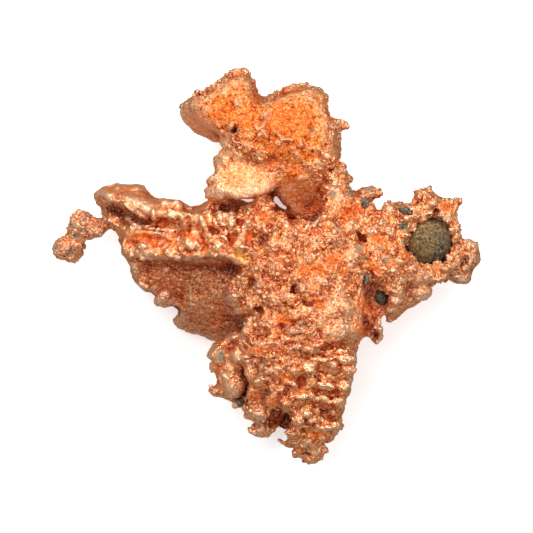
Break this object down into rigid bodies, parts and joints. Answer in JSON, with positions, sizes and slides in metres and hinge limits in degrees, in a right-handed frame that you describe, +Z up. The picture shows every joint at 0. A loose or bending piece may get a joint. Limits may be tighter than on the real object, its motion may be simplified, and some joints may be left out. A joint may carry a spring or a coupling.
{
  "type": "native copper nugget",
  "caption": "Lumpy four-armed growth of native copper with a granular middle, a smooth brown face, stacked ledges, and a round pebble and rock chips held in its pockets.",
  "frame": {"origin": "bottom centre of the nugget's box, on the level that its lowest lumps rest on", "axes": "+X from the arm with the small double bead towards the arm that holds the pebble, +Y towards the two-peaked arm, +Z up out of the side that is looked at"},
  "size_m": [0.0858, 0.0794, 0.0298],
  "materials": {
    "copper": "natural copper, half bright and finely pitted",
    "pebble_stone": "matte, mottled olive brown",
    "matrix_stone": "matte, dark grey green"
  },
  "bodies": {
    "root": {"copper_nugget": "copper", "pebble": "pebble_stone", "chip_notch": "matrix_stone", "chip_hip": "matrix_stone", "chip_slot": "matrix_stone", "chip_window": "matrix_stone", "chip_shoulder": "matrix_stone", "chip_hook": "matrix_stone"}
  },
  "joints": []
}
